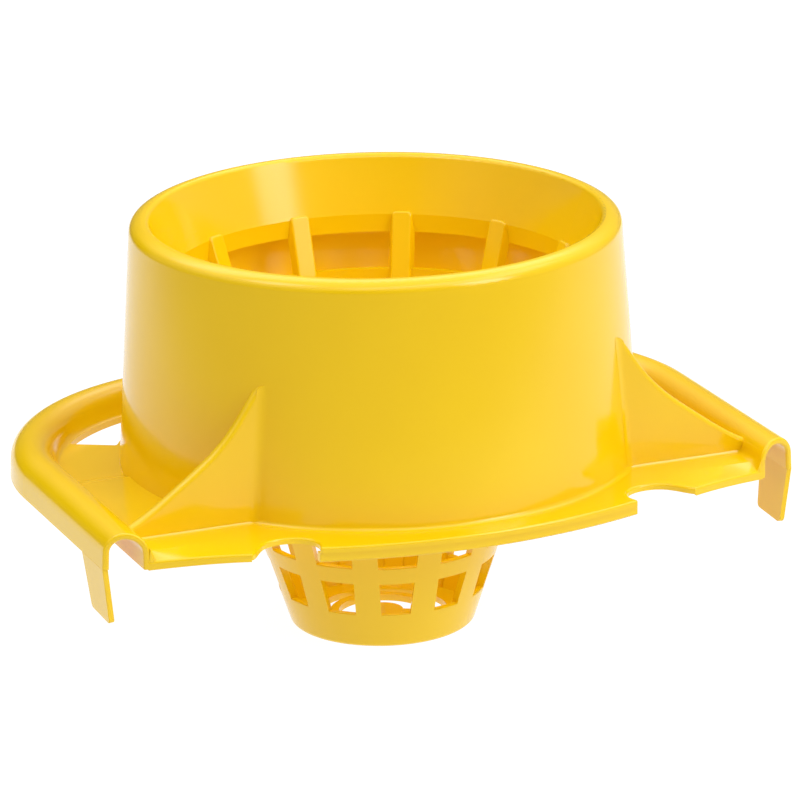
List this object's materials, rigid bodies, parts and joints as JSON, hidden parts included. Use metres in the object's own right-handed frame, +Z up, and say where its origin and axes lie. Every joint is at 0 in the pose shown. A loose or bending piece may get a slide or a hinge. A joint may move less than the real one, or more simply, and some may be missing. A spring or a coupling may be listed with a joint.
{
  "type": "mop bucket wringer insert",
  "caption": "Mop bucket wringer insert: slotted funnel basket in a flared drum, on a deck with a rim channel that hooks over the bucket wall and two locking tongues.",
  "frame": {"origin": "centre of the basket foot, on the plane of the foot", "axes": "+Z up along the funnel axis, -Y towards the front edge with the tongues, +X to the right seen from the front"},
  "size_m": [0.3504, 0.2782, 0.2043],
  "materials": {
    "yellow_plastic": "glossy moulded"
  },
  "bodies": {
    "root": {"rim": "yellow_plastic", "drum_wall": "yellow_plastic", "funnel_wall": "yellow_plastic", "basket_band": "yellow_plastic", "squeeze_ribs": "yellow_plastic", "window_ring_1": "yellow_plastic", "window_ring_2": "yellow_plastic", "window_ring_3": "yellow_plastic", "window_ring_4": "yellow_plastic", "window_ring_5": "yellow_plastic", "floor_plate": "yellow_plastic", "floor_ring": "yellow_plastic", "floor_hub": "yellow_plastic", "floor_spokes": "yellow_plastic", "deck_front": "yellow_plastic", "deck_lip": "yellow_plastic", "channel_back": "yellow_plastic", "deck_panel_left": "yellow_plastic", "deck_panel_right": "yellow_plastic", "deck_side_left": "yellow_plastic", "deck_side_right": "yellow_plastic", "gusset_left": "yellow_plastic", "gusset_right": "yellow_plastic", "channel_left": "yellow_plastic", "channel_right": "yellow_plastic", "channel_corner_left": "yellow_plastic", "channel_corner_right": "yellow_plastic", "tongue_left": "yellow_plastic", "tongue_right": "yellow_plastic"}
  },
  "joints": []
}
